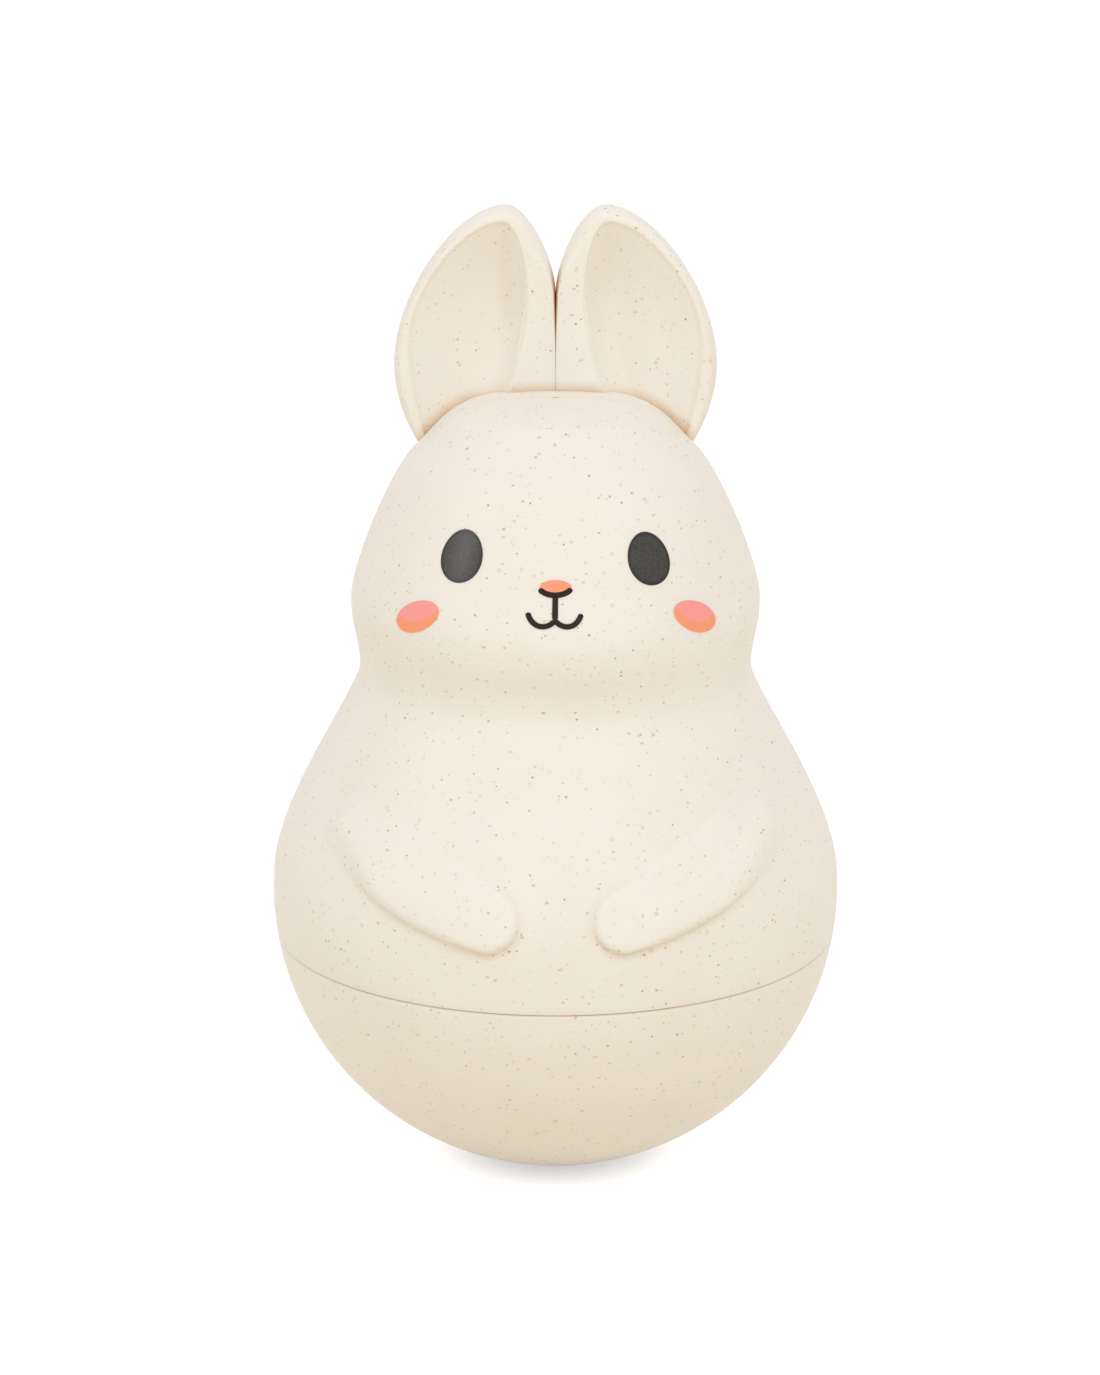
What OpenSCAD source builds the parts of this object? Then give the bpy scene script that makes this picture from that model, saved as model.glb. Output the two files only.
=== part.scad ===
// Roly-poly rabbit: a weighted ball base, a body and head in two shells, two hollow ears,
// and a chime inside that a hanging striker knocks on as the toy rocks.
// Millimetres, +Z up, the face looks along -Y. Left and right are the toy's own sides.

/* [Ball and body] */
// Radius of the ball that the toy rocks on
base_r = 45; // [42:0.5:50]
// Radius of the small flat that the toy rests on
foot_r = 6; // [4:0.5:8]
// Drop of the bowl's seam below the centre of the ball
seam_drop = 6.8; // [5:0.1:9]
// Angle above the equator at which the ball gives way to the body
shoulder_angle = 4.2; // [2:0.1:7]
// Radius at the neck
neck_r = 30.9; // [29:0.1:33]
// Height of the neck above the centre of the ball
neck_rise = 36.6; // [34:0.1:40]
// Radius at the cheeks
cheek_r = 32.2; // [31:0.1:35]
// Height of the cheeks above the neck
cheek_rise = 11.1; // [9:0.1:14]
// Radius at the temples
temple_r = 22.4; // [20:0.1:25]
// Height of the temples above the cheeks
temple_rise = 23.4; // [21:0.1:27]
// Lean of the head's surface at the temples, from upright
temple_angle = 46.4; // [43:0.1:50]
// Height of the crown above the temples
crown_rise = 8.5; // [7:0.1:11]
// Wall of the two body shells
wall = 2.2; // [1.6:0.1:2.8]

/* [Seams] */
// Wall of the weighted bowl
bowl_wall = 2.6; // [2:0.1:3.2]
// Height of the bowl's spigot above the seam
spigot_h = 5.2; // [3:0.1:7]
// Depth of the spigot's root below the seam
spigot_root = 4.8; // [3:0.1:6]
// Wall of the spigot
spigot_t = 1.8; // [1.4:0.1:2.4]
// Clearance round the spigot
spigot_gap = 0.25; // [0.1:0.05:0.4]
// Thickness of the tongue along the split of the shells
tongue_t = 1.4; // [1:0.1:2]
// Reach of the tongue into the front shell
tongue_reach = 2; // [1:0.1:3]
// Length of the tongue's root along the back shell
tongue_root = 3; // [2:0.1:4]
// Clearance over the tongue
tongue_gap = 0.25; // [0.15:0.05:0.4]

/* [Arms] */
// Turn of the paw's tip from the front
paw_angle = 8; // [6:0.1:12]
// Height of the paw's tip above the centre of the ball
paw_rise = 7.2; // [5:0.1:9]
// Turn of the arm's upper end from the front
upper_angle = 61.5; // [56:0.1:66]
// Height of the arm's upper end above the centre of the ball
upper_rise = 18.6; // [17:0.1:20]
// Width of the paw
paw_w = 7.8; // [6:0.1:9]
// Width of the upper arm
upper_w = 13.2; // [11:0.1:15]
// Relief of the paw on the belly
paw_relief = 2.8; // [2:0.1:3.5]
// Relief of the upper arm on the belly
upper_relief = 1.7; // [1.2:0.1:2.4]

/* [Ears] */
// Width of an ear
ear_w = 25.4; // [22:0.1:28]
// Height of the tips above the crown
ear_rise = 28.8; // [24:0.1:36]
// Depth of the ear's hidden root below the crown
ear_sink = 18; // [16:0.1:20]
// Distance of the ears behind the split of the shells
ear_set_back = 8.5; // [8:0.1:10]
// Reach of the lip in front of the ear's mid-plane
ear_front = 3.4; // [2.8:0.1:4]
// Reach of the back behind the ear's mid-plane
ear_back = 4.8; // [4.4:0.1:6]
// Distance of the hollow's floor behind the mid-plane
ear_floor = 0.8; // [0:0.1:1]
// Gap between the two ears
ear_gap = 0.2; // [0.1:0.05:0.5]
// Clearance between an ear and the head
ear_seat_gap = 0.06; // [0.04:0.01:0.1]
// Radius of the ear pegs
peg_r = 1.3; // [1:0.05:1.5]
// Distance of the inner peg from the middle of the head
peg_in = 7; // [6:0.1:8]
// Distance between an ear's two pegs
peg_pitch = 7.5; // [6.8:0.1:8]
// Distance of the pegs behind the ear's mid-plane
peg_back = 2.6; // [2.4:0.1:2.8]
// Height of the pegs' upper ends above the crown
peg_hold = 1; // [0.5:0.1:2]
// Wall of the bosses round the pegs
boss_wall = 1.6; // [1.2:0.1:2]
// Drop of the bosses' flat ends below the crown
boss_drop = 12.7; // [12:0.1:14]
// Width of the staked rim at the end of a peg
stake_rim = 0.8; // [0.5:0.1:1]
// Thickness of the staked end of a peg
stake_t = 1; // [0.6:0.1:1.4]

/* [Ballast] */
// Height of the ballast's top above the foot
ballast_top = 15; // [13:0.1:17]
// Clearance between the ballast and the bowl
ballast_gap = 0.3; // [0.2:0.05:0.5]
// Clearance of the ballast's holes
ballast_hole_gap = 0.4; // [0.2:0.05:0.6]
// Thickness of the plate over the ballast
plate_t = 2.6; // [2:0.1:3.2]
// Clearance between the plate's rim and the bowl
plate_gap = 1.4; // [0.8:0.1:2]
// Radius of the boss under the middle of the plate
plate_boss_r = 4; // [3.2:0.1:5]
// Depth of the boss under the plate
plate_boss_h = 6.8; // [6:0.1:8]
// Radius of the bowl's screw posts
post_r = 3.4; // [2.8:0.1:4]
// Distance of the screw posts from the plate's rim
post_edge = 4.4; // [4:0.1:5]
// Clearance between the screw posts and the plate
post_gap = 0.2; // [0.1:0.05:0.4]
// Radius of the screws
screw_r = 1.2; // [1:0.05:1.4]
// Radius of the screw heads
screw_head_r = 2.4; // [2:0.1:2.8]
// Height of the screw heads
screw_head_h = 1.6; // [1.2:0.1:2]
// Length of the ballast screws under the head
ballast_screw_len = 7.5; // [6:0.1:8]
// Length of the chime screw under the head
chime_screw_len = 13; // [11:0.1:14]

/* [Chime] */
// Thickness of the block that carries the chime
block_t = 6; // [5.5:0.1:8]
// Gap between the block and the heads of the ballast screws
block_gap = 0.6; // [0.4:0.1:1]
// Radius of the sounding rods
rod_r = 1.2; // [0.9:0.05:1.5]
// Height of the longest rod above the block
rod_h = 30; // [28:0.1:33]
// Difference in height from one rod to the next
rod_step = 3; // [2:0.1:3.2]
// Depth of the seats of the rods and the bridge in the block
rod_seat = 5; // [3.5:0.1:5.2]
// Distance of the rods' ring inside the bridge's legs
rod_inset = 4.7; // [4:0.1:6]
// Swing of the striker before it meets a rod
bob_swing = 5.1; // [4.8:0.1:6]

/* [Striker] */
// Radius of the bridge's wire
wire_r = 1.25; // [1:0.05:1.5]
// Height of the bridge's bar above the block
bridge_h = 44.4; // [42:0.1:47]
// Bend radius of the bridge
bend_r = 5; // [4:0.1:7]
// Distance of the bridge's legs from the rim of the block
leg_edge = 2.4; // [2:0.1:3]
// Distance between the link's two pivots
link_len = 8; // [7.5:0.1:9]
// Radius of the link's upper eye
link_eye_r = 2.8; // [2.4:0.1:3.2]
// Width of the link's upper eye
link_eye_w = 5; // [4:0.1:6]
// Radius of the link's neck
link_neck_r = 1.4; // [1:0.1:1.8]
// Radius of the striker's pin
pin_r = 1; // [0.8:0.05:1.2]
// Radius of the link's lower eye
pin_eye_r = 2.4; // [2:0.1:2.8]
// Width of the link's lower eye
pin_eye_w = 4; // [3.6:0.1:5]
// Running clearance of both pivots
pivot_gap = 0.05; // [0.02:0.01:0.08]
// Wall of the collars on the wire
collar_wall = 1.2; // [0.8:0.1:1.6]
// Width of the collars on the wire
collar_w = 1.6; // [1.2:0.1:2.4]
// Side clearance of the link and of the fork
side_gap = 0.3; // [0.2:0.05:0.5]
// Thickness of the fork's cheeks
fork_t = 1.4; // [1.2:0.1:2]
// Radius of the fork's rounded ends
fork_r = 2.2; // [1.9:0.1:2.4]
// Drop of the fork's base below the pin
fork_drop = 4.5; // [4:0.1:6]
// Thickness of the fork's base
fork_base_t = 2; // [1.5:0.1:3]
// Length of the pin beyond each cheek
pin_over = 0.4; // [0.2:0.1:0.8]
// Distance from the pin to the middle of the bob
striker_len = 20; // [19:0.1:22]
// Radius of the stem
stem_r = 1.2; // [1:0.05:1.5]
// Thickness of the bob
bob_t = 5; // [4:0.1:6]
// Depth of the stem's seat in the bob
stem_seat = 3; // [2:0.1:3.5]

/* [Hidden] */
$fn = 72;
// Overrun of cuts
cut = 1;
// Clearance of fixed seats, where a piece is pressed or screwed in
seat_gap = 0.03;
// Clearance of a screw's through hole
through_gap = 0.3;
// Spare depth below a screw's tip
tip_room = 0.7;
// Cross recess of the screw heads, as shares of the head's radius and height
recess_w_share = 0.28;
recess_len_share = 1.1;
recess_depth_share = 0.5;
post_count = 3;
rod_count = 4;

// Body curve: its handles as shares of the height of each stretch, the last of the temple's radius
shoulder_out_share = 0.34;
neck_in_share = 0.13;
neck_out_share = 0.46;
cheek_in_share = 0.47;
cheek_out_share = 0.2;
temple_in_share = 0.2;
temple_out_share = 0.96;
crown_in_share = 0.78;
arc_steps = 5;
curve_steps = 9;

// Arms: lengths of the rounded ends and of the paw's swell as shares of the arm's length,
// and the arch of its line as shares of the way from the paw to the upper end
paw_cap_share = 0.1;
upper_cap_share = 0.24;
swell_share = 0.55;
arm_arch_shares = [[0.3, 0.32], [0.7, 0.86]];
// Depth of a rib's edge below the skin that it rises from
edge_sink = 0.3;
arm_rings = 15;
arm_steps = 8;

// Ear outlines as shares of the ear's width and height: knot, handle, handle, and so on,
// from the tip round the outer side, the root and the inner side
ear_edge_shares = [
    [0.305, 1], [0.6, 1], [1, 0.705], [1, 0.455], [1, 0.265], [0.73, 0],
    [0.47, 0], [0, 0], [0, 0.4], [0, 0.7], [0, 0.81], [0.165, 1]
];
hollow_edge_shares = [
    [0.327, 0.946], [0.552, 0.946], [0.918, 0.725], [0.918, 0.527], [0.918, 0.4], [0.76, 0.13],
    [0.66, 0.13], [0.62, 0.2], [0.164, 0.46], [0.164, 0.681], [0.164, 0.824], [0.235, 0.946]
];
hollow_heart_share = [0.38, 0.64];
ear_heart_share = [0.48, 0.5];
// Section of the ear in rings: size within the hollow and depth towards its floor,
// step from the hollow's edge to the ear's edge and reach towards the front,
// size within the ear's edge and reach towards the back
floor_ring_shares = [[0.35, 0.98], [0.68, 0.86], [0.88, 0.5]];
lip_ring_shares = [[0, 0.92], [0.3, 1], [0.65, 0.86], [0.9, 0.5]];
back_ring_shares = [[1, 0], [0.97, 0.4], [0.86, 0.74], [0.6, 0.94]];
ear_steps = 7;

// Heights
centre_z = sqrt(base_r * base_r - foot_r * foot_r);
seam_z = centre_z - seam_drop;
neck_z = centre_z + neck_rise;
cheek_z = neck_z + cheek_rise;
temple_z = cheek_z + temple_rise;
crown_z = temple_z + crown_rise;
plate_top = ballast_top + plate_t;
block_top = plate_top + block_t;
bar_z = block_top + bridge_h;
pin_z = bar_z - link_len;
bob_z = pin_z - striker_len;
fork_base_z = pin_z - fork_drop - fork_base_t;
boss_z = crown_z - boss_drop;
tongue_z = seam_z + spigot_h + spigot_t;

// Radii and distances from the axis
bowl_in_r = base_r - bowl_wall;
spigot_r = sqrt(pow(base_r - wall, 2) - seam_drop * seam_drop) - spigot_gap;
plate_r = sqrt(bowl_in_r * bowl_in_r - pow(centre_z - ballast_top, 2)) - plate_gap;
post_ring_r = plate_r - post_edge;
block_r = post_ring_r - screw_head_r - block_gap;
leg_x = block_r - leg_edge;
rod_ring_r = leg_x - rod_inset;
bob_r = rod_ring_r - rod_r - bob_swing;
peg_y = ear_set_back + peg_back;
boss_r = peg_r + seat_gap + boss_wall;
fork_w = pin_eye_w + 2 * side_gap + 2 * fork_t;

function bezier(p, t) =
    pow(1 - t, 3) * p[0] + 3 * pow(1 - t, 2) * t * p[1] + 3 * (1 - t) * t * t * p[2] + pow(t, 3) * p[3];
function bezier_slope(p, t) =
    pow(1 - t, 2) * (p[1] - p[0]) + 2 * (1 - t) * t * (p[2] - p[1]) + t * t * (p[3] - p[2]);
function outward(d) = [d.y, -d.x] / norm(d);
function reversed(list) = [for (i = [len(list) - 1:-1:0]) list[i]];
function mirrored(list) = [for (p = list) [-p.x, p.y]];

// The body's curve from the shoulder to the crown, in four Bezier stretches
shoulder = [base_r * cos(shoulder_angle), centre_z + base_r * sin(shoulder_angle)];
shoulder_way = [-sin(shoulder_angle), cos(shoulder_angle)];
temple_way = [-sin(temple_angle), cos(temple_angle)];
temple = [temple_r, temple_z];
shoulder_h = neck_z - shoulder.y;
body_curves = [
    [shoulder, shoulder + shoulder_way * shoulder_out_share * shoulder_h,
        [neck_r, neck_z - neck_in_share * shoulder_h], [neck_r, neck_z]],
    [[neck_r, neck_z], [neck_r, neck_z + neck_out_share * cheek_rise],
        [cheek_r, cheek_z - cheek_in_share * cheek_rise], [cheek_r, cheek_z]],
    [[cheek_r, cheek_z], [cheek_r, cheek_z + cheek_out_share * temple_rise],
        temple - temple_way * temple_in_share * temple_rise, temple],
    [temple, temple + temple_way * temple_out_share * crown_rise,
        [temple_r * crown_in_share, crown_z], [0, crown_z]]
];

// The arm's line in turn from the front and height above the centre of the ball
paw_end = [paw_angle, paw_rise];
upper_end = [upper_angle, upper_rise];
function arm_between(share) =
    [paw_angle + (upper_angle - paw_angle) * share.x, paw_rise + (upper_rise - paw_rise) * share.y];
arm_curve = [paw_end, arm_between(arm_arch_shares[0]), arm_between(arm_arch_shares[1]), upper_end];

// Points of the body's outline from the seam to the crown, moved inwards by inset
function ball_arc(inset) =
    let (low = asin(-seam_drop / (base_r - inset)))
    [for (i = [0:arc_steps])
        let (a = low + (shoulder_angle - low) * i / arc_steps)
        [(base_r - inset) * cos(a), centre_z + (base_r - inset) * sin(a)]];
function body_path(inset) =
    concat(ball_arc(inset), [for (c = body_curves, i = [1:curve_steps])
        bezier(c, i / curve_steps) - inset * outward(bezier_slope(c, i / curve_steps))]);
function radius_at(z, inset) = lookup(z, [for (p = body_path(inset)) [p.y, p.x]]);

module body_solid(inset) {
    rotate_extrude()
        polygon(concat(body_path(inset), [[0, seam_z]]));
}

module half_shell() {
    rotate_extrude(angle = 180)
        polygon(concat(body_path(0), reversed(body_path(wall))));
}

// An arch along the split of the shells, between two insets, from y_low to y_high
function arch(inset) =
    let (half = concat([[radius_at(tongue_z, inset), tongue_z]],
            [for (p = body_path(inset)) if (p.y > tongue_z) p]))
    concat(half, mirrored([for (i = [len(half) - 2:-1:0]) half[i]]));
module split_arch(outer, inner, y_low, y_high) {
    translate([0, y_high, 0])
        rotate([90, 0, 0])
            linear_extrude(y_high - y_low)
                polygon(concat(arch(outer), reversed(arch(inner))));
}

// An arm: a rib laid on the belly along a slightly arched line of turn and height,
// with its underside sunk to the middle of the wall. s runs from the paw to the upper end
// and v from the lower edge at -1 to the upper edge at 1.
function on_body(angle, z, proud) =
    let (r = radius_at(z, 0) + proud)
    [r * sin(angle), -r * cos(angle), z];
function arm_cap(s) =
    s < paw_cap_share ? sqrt(1 - pow(1 - s / paw_cap_share, 2)) :
    s > 1 - upper_cap_share ? sqrt(1 - pow(1 - (1 - s) / upper_cap_share, 2)) : 1;
function arm_spot(s, v, proud) =
    let (
        along = arm_curve[3] - arm_curve[0],
        c = bezier(arm_curve, s),
        r = radius_at(centre_z + c.y, 0),
        way = [along.x * r * PI / 180, along.y] / norm([along.x * r * PI / 180, along.y]),
        swell = min(s / swell_share, 1),
        half_w = (paw_w + (upper_w - paw_w) * swell * (2 - swell)) * arm_cap(s) / 2
    )
    on_body(c.x - v * half_w * way.y * 180 / PI / r, centre_z + c.y + v * half_w * way.x, proud);
function arm_height(s, v) =
    (paw_relief + (upper_relief - paw_relief) * s) * arm_cap(s) * (1 - pow(abs(v), 3)) - edge_sink;
function arm_ring(s) =
    concat(
        [for (i = [0:arm_steps]) let (v = 1 - 2 * i / arm_steps) arm_spot(s, v, arm_height(s, v))],
        [for (i = [0:arm_steps]) let (v = 2 * i / arm_steps - 1) arm_spot(s, v, -wall / 2)]
    );
module arm() {
    ringed_skin(
        arm_spot(0, 0, -wall / 2),
        [for (i = [1:arm_rings]) arm_ring((1 - cos(180 * i / (arm_rings + 1))) / 2)],
        arm_spot(1, 0, -wall / 2)
    );
}

// The ear's outlines in its own plane, and its rings from the hollow's floor round to the back
function ear_place(share) =
    [ear_gap / 2 + share.x * ear_w, crown_z - ear_sink + share.y * (ear_sink + ear_rise)];
function ear_loop(shares) =
    [for (k = [0:3:len(shares) - 1], i = [0:ear_steps - 1])
        ear_place(bezier([for (j = [0:3]) shares[(k + j) % len(shares)]], i / ear_steps))];
function ear_ring(from, to, share, y) =
    [for (i = [0:len(to) - 1])
        let (a = is_num(from.x) ? from : from[i], p = a + (to[i] - a) * share)
        [p.x, ear_set_back + y, p.y]];
ear_edge = ear_loop(ear_edge_shares);
hollow_edge = ear_loop(hollow_edge_shares);
hollow_heart = ear_place(hollow_heart_share);
ear_heart = ear_place(ear_heart_share);
lip_y = -ear_front * lip_ring_shares[0].y;
ear_rings = concat(
    [for (s = floor_ring_shares) ear_ring(hollow_heart, hollow_edge, s.x, lip_y + (ear_floor - lip_y) * s.y)],
    [for (s = lip_ring_shares) ear_ring(hollow_edge, ear_edge, s.x, -ear_front * s.y)],
    [for (s = back_ring_shares) ear_ring(ear_heart, ear_edge, s.x, ear_back * s.y)]
);

// A closed skin over rings of equal length, with a point at either end
module ringed_skin(first, rings, last) {
    n = len(rings[0]);
    m = len(rings);
    function at(j, i) = 1 + j * n + i % n;
    points = concat([first], [for (ring = rings, p = ring) p], [last]);
    faces = concat(
        [for (i = [0:n - 1]) [0, at(0, i), at(0, i + 1)]],
        [for (j = [0:m - 2], i = [0:n - 1]) [at(j, i), at(j + 1, i), at(j + 1, i + 1)]],
        [for (j = [0:m - 2], i = [0:n - 1]) [at(j, i), at(j + 1, i + 1), at(j, i + 1)]],
        [for (i = [0:n - 1]) [1 + m * n, at(m - 1, i + 1), at(m - 1, i)]]
    );
    polyhedron(points, faces);
}

module at_pegs() {
    for (x = [peg_in, peg_in + peg_pitch])
        translate([x, peg_y, 0])
            children();
}

module ear() {
    difference() {
        ringed_skin(
            [hollow_heart.x, ear_set_back + ear_floor, hollow_heart.y],
            ear_rings,
            [ear_heart.x, ear_set_back + ear_back, ear_heart.y]
        );
        body_solid(-ear_seat_gap);
    }
    at_pegs() {
        translate([0, 0, boss_z - stake_t])
            cylinder(r = peg_r, h = crown_z + peg_hold - boss_z + stake_t);
        translate([0, 0, boss_z - stake_t])
            cylinder(r = peg_r + stake_rim, h = stake_t);
    }
}

module both_sides() {
    children();
    mirror([1, 0, 0])
        children();
}

module ball(r) {
    translate([0, 0, centre_z])
        sphere(r);
}

// The part of a ball between two heights
module ball_slice(r, low, high) {
    intersection() {
        ball(r);
        translate([0, 0, low])
            cylinder(r = r + cut, h = high - low);
    }
}

module at_posts() {
    for (i = [0:post_count - 1])
        rotate([0, 0, 90 + 360 * i / post_count])
            translate([post_ring_r, 0, 0])
                children();
}

module at_rod(i, r) {
    rotate([0, 0, 360 * i / rod_count])
        translate([r, 0, 0])
            children();
}

// A pan-head screw with a cross recess, its head's underside at z = 0
module screw(length) {
    recess_h = screw_head_h * recess_depth_share;
    difference() {
        union() {
            cylinder(r = screw_head_r, h = screw_head_h);
            translate([0, 0, -length])
                cylinder(r = screw_r, h = length);
        }
        for (turn = [0, 90])
            rotate([0, 0, turn])
                translate([0, 0, screw_head_h + (cut - recess_h) / 2])
                    cube([screw_head_r * recess_len_share, screw_head_r * recess_w_share, recess_h + cut],
                        center = true);
    }
}

module base_bowl() {
    color("#EFE5D4")
        difference() {
            union() {
                difference() {
                    ball_slice(base_r, 0, seam_z);
                    ball(bowl_in_r);
                }
                translate([0, 0, seam_z - spigot_root])
                    difference() {
                        cylinder(r = spigot_r, h = spigot_root + spigot_h);
                        translate([0, 0, -cut])
                            cylinder(r = spigot_r - spigot_t, h = spigot_root + spigot_h + 2 * cut);
                    }
                intersection() {
                    ball(base_r - bowl_wall / 2);
                    at_posts()
                        cylinder(r = post_r, h = ballast_top - post_gap);
                }
            }
            at_posts()
                translate([0, 0, plate_top - ballast_screw_len - tip_room])
                    cylinder(r = screw_r + seat_gap, h = ballast_screw_len);
        }
}

module front_shell() {
    color("#F2E8D8") {
        rotate([0, 0, 180])
            half_shell();
        both_sides()
            arm();
    }
}

module back_shell() {
    color("#F2E8D8")
        difference() {
            union() {
                half_shell();
                split_arch(wall + tongue_gap, wall + tongue_gap + tongue_t, -tongue_reach, 0);
                split_arch(wall / 2, wall + tongue_gap + tongue_t, 0, tongue_root);
                intersection() {
                    body_solid(wall / 2);
                    both_sides()
                        at_pegs()
                            translate([0, 0, boss_z])
                                cylinder(r = boss_r, h = boss_drop);
                }
            }
            both_sides()
                at_pegs()
                    translate([0, 0, boss_z - cut])
                        cylinder(r = peg_r + seat_gap, h = boss_drop + 2 * cut);
        }
}

module left_ear() {
    color("#F2E8D8")
        ear();
}

module right_ear() {
    color("#F2E8D8")
        mirror([1, 0, 0])
            ear();
}

module ballast_weight() {
    color("#54565A")
        difference() {
            ball_slice(bowl_in_r - ballast_gap, 0, ballast_top);
            at_posts()
                cylinder(r = post_r + ballast_hole_gap, h = ballast_top + cut);
            cylinder(r = plate_boss_r + ballast_hole_gap, h = ballast_top + cut);
        }
}

module ballast_plate() {
    color("#D8D5CC")
        difference() {
            union() {
                translate([0, 0, ballast_top])
                    cylinder(r = plate_r, h = plate_t);
                translate([0, 0, ballast_top - plate_boss_h])
                    cylinder(r = plate_boss_r, h = plate_boss_h + plate_t);
            }
            at_posts()
                translate([0, 0, ballast_top - cut])
                    cylinder(r = screw_r + through_gap, h = plate_t + 2 * cut);
            translate([0, 0, block_top - chime_screw_len - tip_room])
                cylinder(r = screw_r + seat_gap, h = chime_screw_len);
        }
}

module ballast_screws() {
    color("#B9BBBE")
        at_posts()
            translate([0, 0, plate_top])
                screw(ballast_screw_len);
}

module chime_block() {
    color("#C9C4B8")
        difference() {
            translate([0, 0, plate_top])
                cylinder(r = block_r, h = block_t);
            for (i = [0:rod_count - 1])
                at_rod(i, rod_ring_r)
                    translate([0, 0, block_top - rod_seat])
                        cylinder(r = rod_r + seat_gap, h = rod_seat + cut);
            both_sides()
                translate([leg_x, 0, block_top - rod_seat])
                    cylinder(r = wire_r + seat_gap, h = rod_seat + cut);
            translate([0, 0, plate_top - cut])
                cylinder(r = screw_r + through_gap, h = block_t + 2 * cut);
        }
}

module chime_screw() {
    color("#B9BBBE")
        translate([0, 0, block_top])
            screw(chime_screw_len);
}

module chime_rod(i) {
    color("#D9DBDE")
        at_rod(i, rod_ring_r)
            translate([0, 0, block_top - rod_seat])
                cylinder(r = rod_r, h = rod_seat + rod_h - i * rod_step);
}

module striker_bridge() {
    color("#AEB1B5") {
        both_sides() {
            translate([leg_x, 0, block_top - rod_seat])
                cylinder(r = wire_r, h = rod_seat + bridge_h - bend_r);
            translate([leg_x - bend_r, 0, bar_z - bend_r])
                rotate([90, 0, 0])
                    rotate_extrude(angle = 90)
                        translate([bend_r, 0])
                            circle(wire_r);
        }
        translate([bend_r - leg_x, 0, bar_z])
            rotate([0, 90, 0])
                cylinder(r = wire_r, h = 2 * (leg_x - bend_r));
    }
}

module link_collars() {
    color("#C8A860")
        both_sides()
            translate([link_eye_w / 2 + side_gap, 0, bar_z])
                rotate([0, 90, 0])
                    difference() {
                        cylinder(r = wire_r + collar_wall, h = collar_w);
                        translate([0, 0, -cut])
                            cylinder(r = wire_r + seat_gap, h = collar_w + 2 * cut);
                    }
}

module swing_link() {
    color("#E4E1DA")
        difference() {
            union() {
                translate([0, 0, bar_z])
                    rotate([0, 90, 0])
                        cylinder(r = link_eye_r, h = link_eye_w, center = true);
                translate([0, 0, pin_z])
                    rotate([90, 0, 0])
                        cylinder(r = pin_eye_r, h = pin_eye_w, center = true);
                translate([0, 0, pin_z])
                    cylinder(r = link_neck_r, h = link_len);
            }
            translate([0, 0, bar_z])
                rotate([0, 90, 0])
                    cylinder(r = wire_r + pivot_gap, h = link_eye_w + 2 * cut, center = true);
            translate([0, 0, pin_z])
                rotate([90, 0, 0])
                    cylinder(r = pin_r + pivot_gap, h = pin_eye_w + 2 * cut, center = true);
        }
}

module striker_pin() {
    color("#AEB1B5")
        translate([0, 0, pin_z])
            rotate([90, 0, 0])
                cylinder(r = pin_r, h = fork_w + 2 * pin_over, center = true);
}

module striker_stem() {
    stem_low = bob_z + bob_t / 2 - stem_seat;
    color("#E4E1DA")
        difference() {
            union() {
                for (side = [-1, 1])
                    translate([0, side * (fork_w - fork_t) / 2, pin_z]) {
                        rotate([90, 0, 0])
                            cylinder(r = fork_r, h = fork_t, center = true);
                        translate([-fork_r, -fork_t / 2, -fork_drop])
                            cube([2 * fork_r, fork_t, fork_drop]);
                    }
                translate([-fork_r, -fork_w / 2, fork_base_z])
                    cube([2 * fork_r, fork_w, fork_base_t]);
                translate([0, 0, stem_low])
                    cylinder(r = stem_r, h = fork_base_z - stem_low);
            }
            translate([0, 0, pin_z])
                rotate([90, 0, 0])
                    cylinder(r = pin_r + seat_gap, h = fork_w + 2 * cut, center = true);
        }
}

module striker_bob() {
    rim = bob_t / 2;
    color("#8C7B62")
        translate([0, 0, bob_z])
            difference() {
                rotate_extrude()
                    polygon(concat([[0, -rim]],
                        [for (a = [-90:15:90]) [bob_r - rim + rim * cos(a), rim * sin(a)]],
                        [[0, rim]]));
                translate([0, 0, rim - stem_seat])
                    cylinder(r = stem_r + seat_gap, h = stem_seat + cut);
            }
}

base_bowl();
front_shell();
back_shell();
left_ear();
right_ear();
ballast_weight();
ballast_plate();
ballast_screws();
chime_block();
chime_screw();
chime_rod(0);  // chime_rod_1
chime_rod(1);  // chime_rod_2
chime_rod(2);  // chime_rod_3
chime_rod(3);  // chime_rod_4
striker_bridge();
link_collars();
swing_link();
striker_pin();
striker_stem();
striker_bob();
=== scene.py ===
"""Looks of a roly-poly rabbit: a weighted toy moulded in fibre-flecked plastic, with a printed face.

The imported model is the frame. The five moulded pieces that show are made again here as smooth closed
surfaces, the face is printed on them as thin films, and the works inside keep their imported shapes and
get their materials. Lengths are in millimetres until a mesh is made. The toy faces -Y, and its left is +X.
"""

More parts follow.
